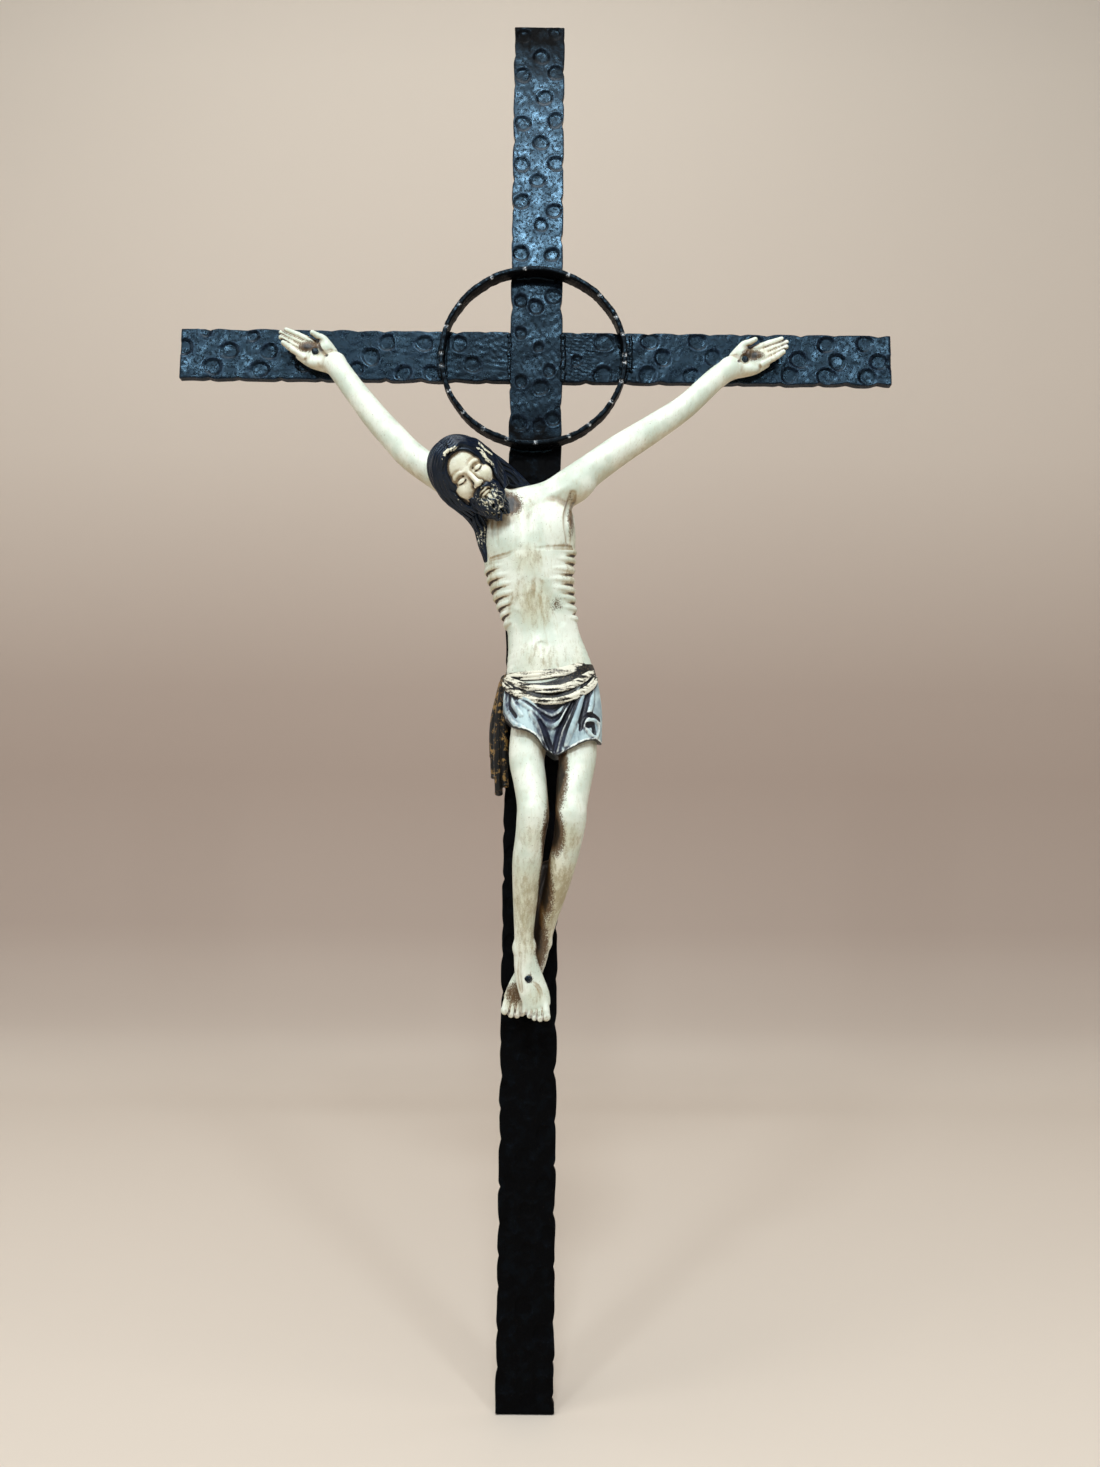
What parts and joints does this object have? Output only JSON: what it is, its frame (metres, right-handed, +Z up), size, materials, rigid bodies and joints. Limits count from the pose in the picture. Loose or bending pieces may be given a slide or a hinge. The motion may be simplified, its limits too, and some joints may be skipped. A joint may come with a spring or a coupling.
{
  "type": "wall crucifix",
  "caption": "Flat cross of hammered blackened iron with a hoop round its crossing, carrying a carved and painted figure nailed through hands and feet.",
  "frame": {"origin": "middle of the crossing, on the flat back face of the cross, where it meets the wall", "axes": "+Z up along the upright, +X along the arms to the viewer's right, +Y into the wall, so the front faces -Y"},
  "size_m": [0.403, 0.0582, 0.765],
  "materials": {
    "iron": "satin black over hammered iron",
    "painted_wood": "cream paint, satin, with brown patina",
    "nail": "dark satin"
  },
  "bodies": {
    "root": {"upright": "iron", "left_arm": "iron", "right_arm": "iron", "hoop": "iron", "corpus": "painted_wood", "nail_left_hand": "nail", "nail_right_hand": "nail", "nail_feet": "nail"}
  },
  "joints": []
}
